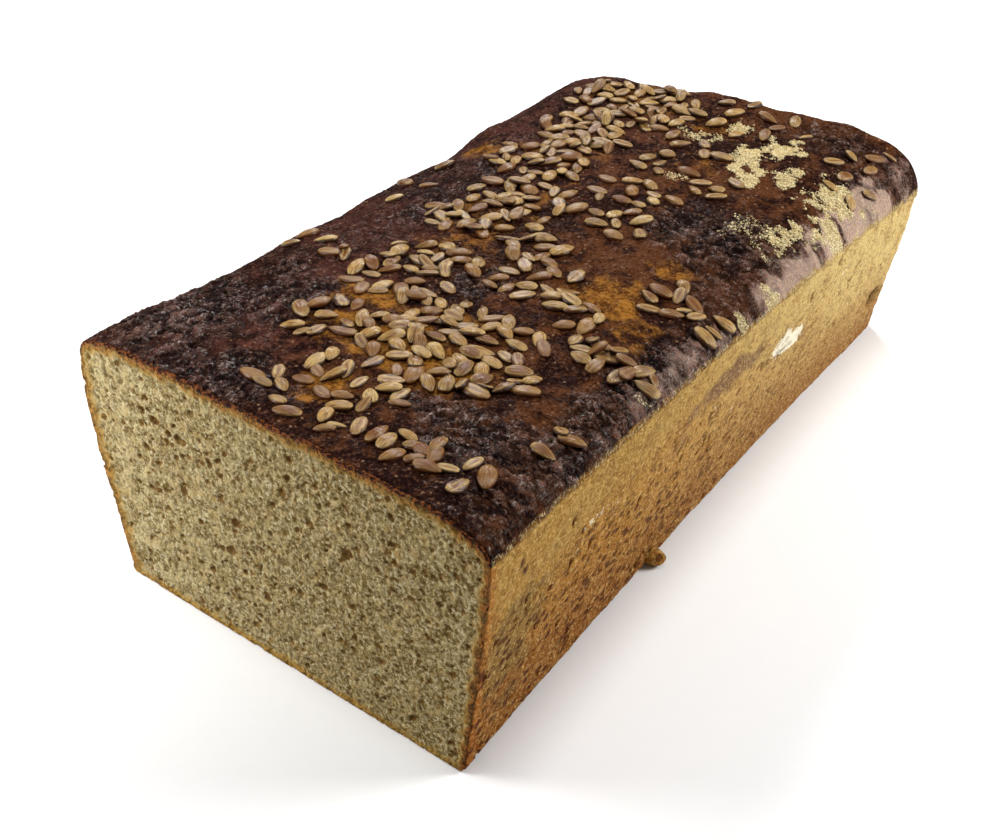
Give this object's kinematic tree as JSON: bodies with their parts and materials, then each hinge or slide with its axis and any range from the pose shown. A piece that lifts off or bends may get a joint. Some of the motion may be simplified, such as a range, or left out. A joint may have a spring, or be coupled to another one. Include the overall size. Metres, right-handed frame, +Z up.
{
  "type": "wholemeal loaf",
  "caption": "Wholemeal tin loaf with its end cut off, a flat base, and sunflower seeds baked onto its dark, gently domed top crust.",
  "frame": {"origin": "middle of the loaf's bounding box, on the surface that it stands on", "axes": "+Y along the loaf from the cut face to the far end, +X to the right seen from the cut face, +Z up"},
  "size_m": [0.1204, 0.2268, 0.0679],
  "materials": {
    "crust": "baked crust, dark brown, leathery with a dull gloss",
    "crumb": "cut wholemeal crumb, matt and finely porous",
    "seeds": "toasted sunflower kernels, satin",
    "semolina": "dry coarse meal, matt"
  },
  "bodies": {
    "root": {"loaf": "crust"}
  },
  "joints": []
}
